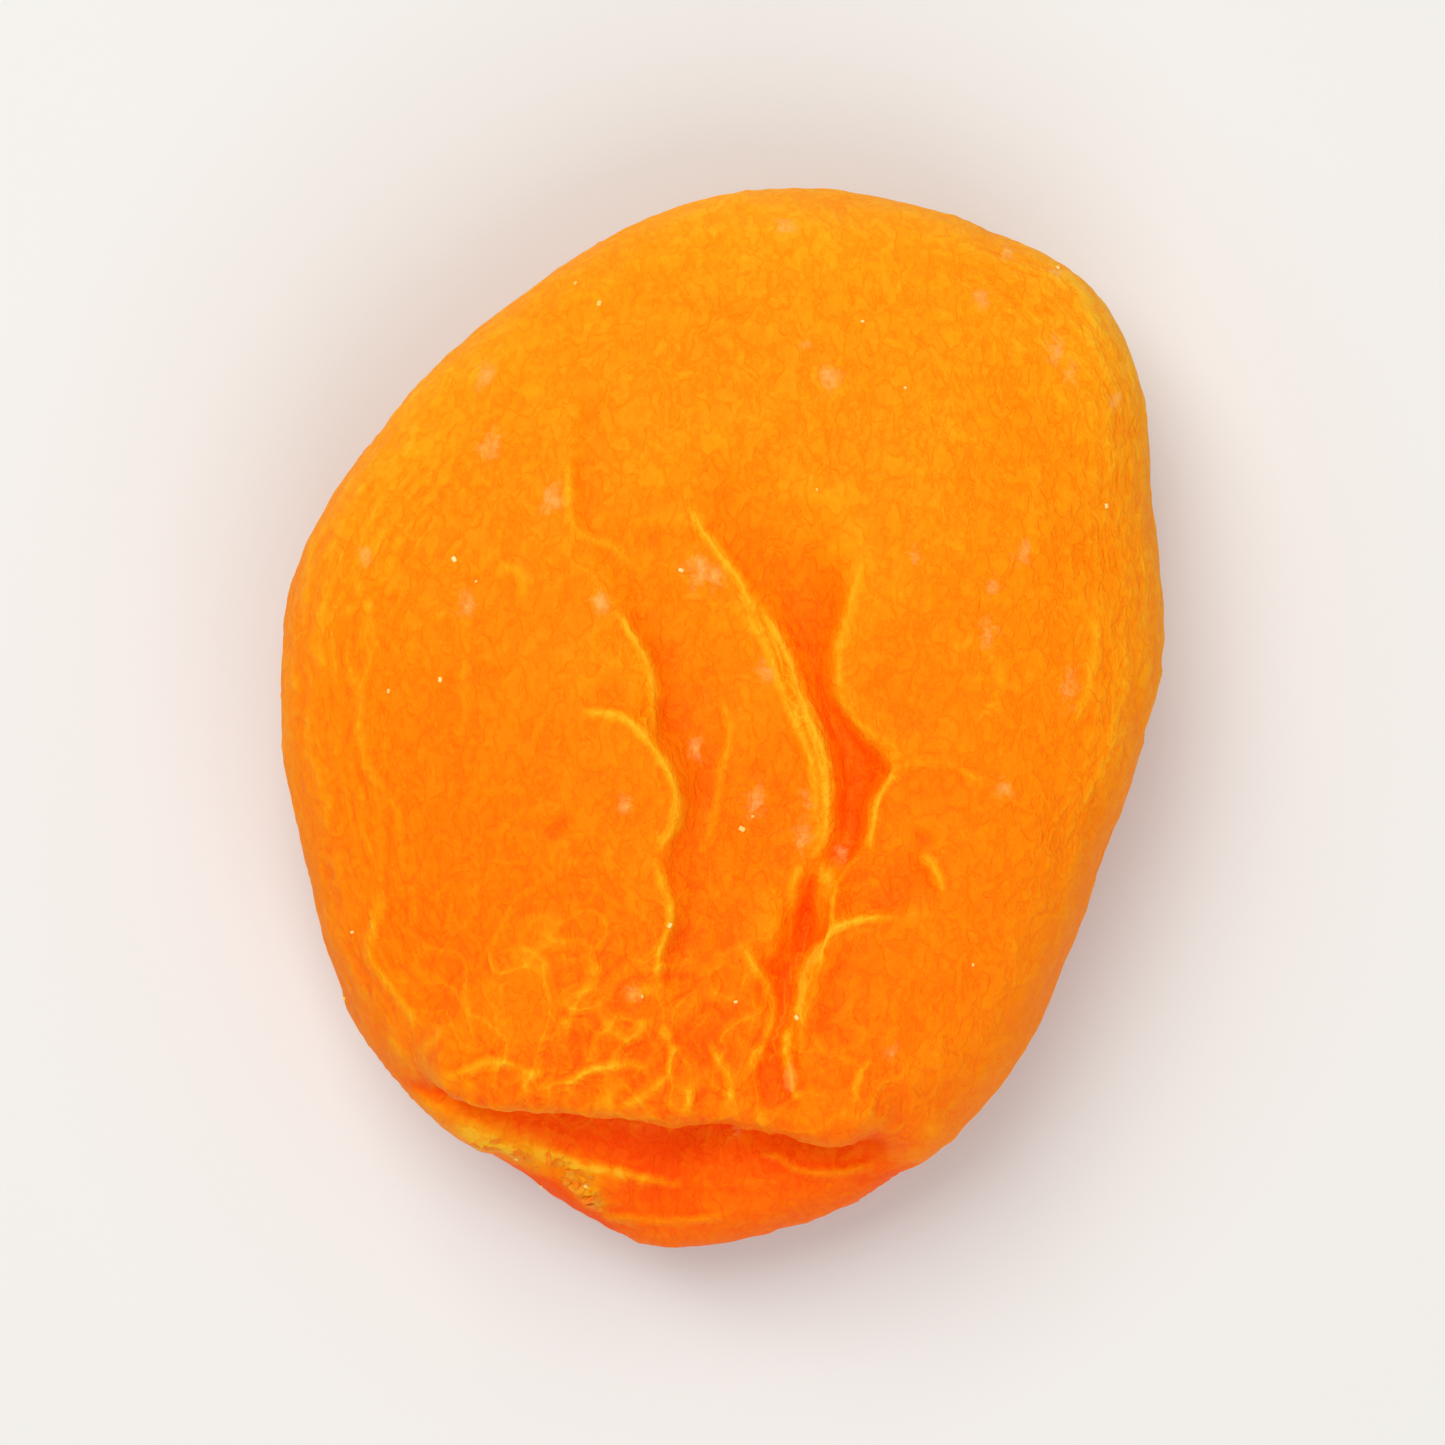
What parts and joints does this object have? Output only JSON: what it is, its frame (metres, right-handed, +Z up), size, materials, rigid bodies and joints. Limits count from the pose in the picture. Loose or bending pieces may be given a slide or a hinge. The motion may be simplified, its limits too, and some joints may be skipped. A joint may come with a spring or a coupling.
{
  "type": "dried apricot",
  "caption": "Whole pitted dried apricot, flattened and wrinkled, with skin folded into the pit hollow on top and an open pitting mouth at one end; lies flat by itself.",
  "frame": {"origin": "centre of the bottom of the fruit's bounding box, on the surface that it lies on", "axes": "+X across the fruit, to the right in the picture; +Y along it, from the pitting mouth to the closed end, up in the picture; +Z up, towards the camera that looks down on it"},
  "size_m": [0.033, 0.04, 0.0133],
  "materials": {
    "dried_flesh": "soft satin, waxy and slightly translucent flesh under a fine velvety skin"
  },
  "bodies": {
    "root": {"dried_apricot": "dried_flesh"}
  },
  "joints": []
}
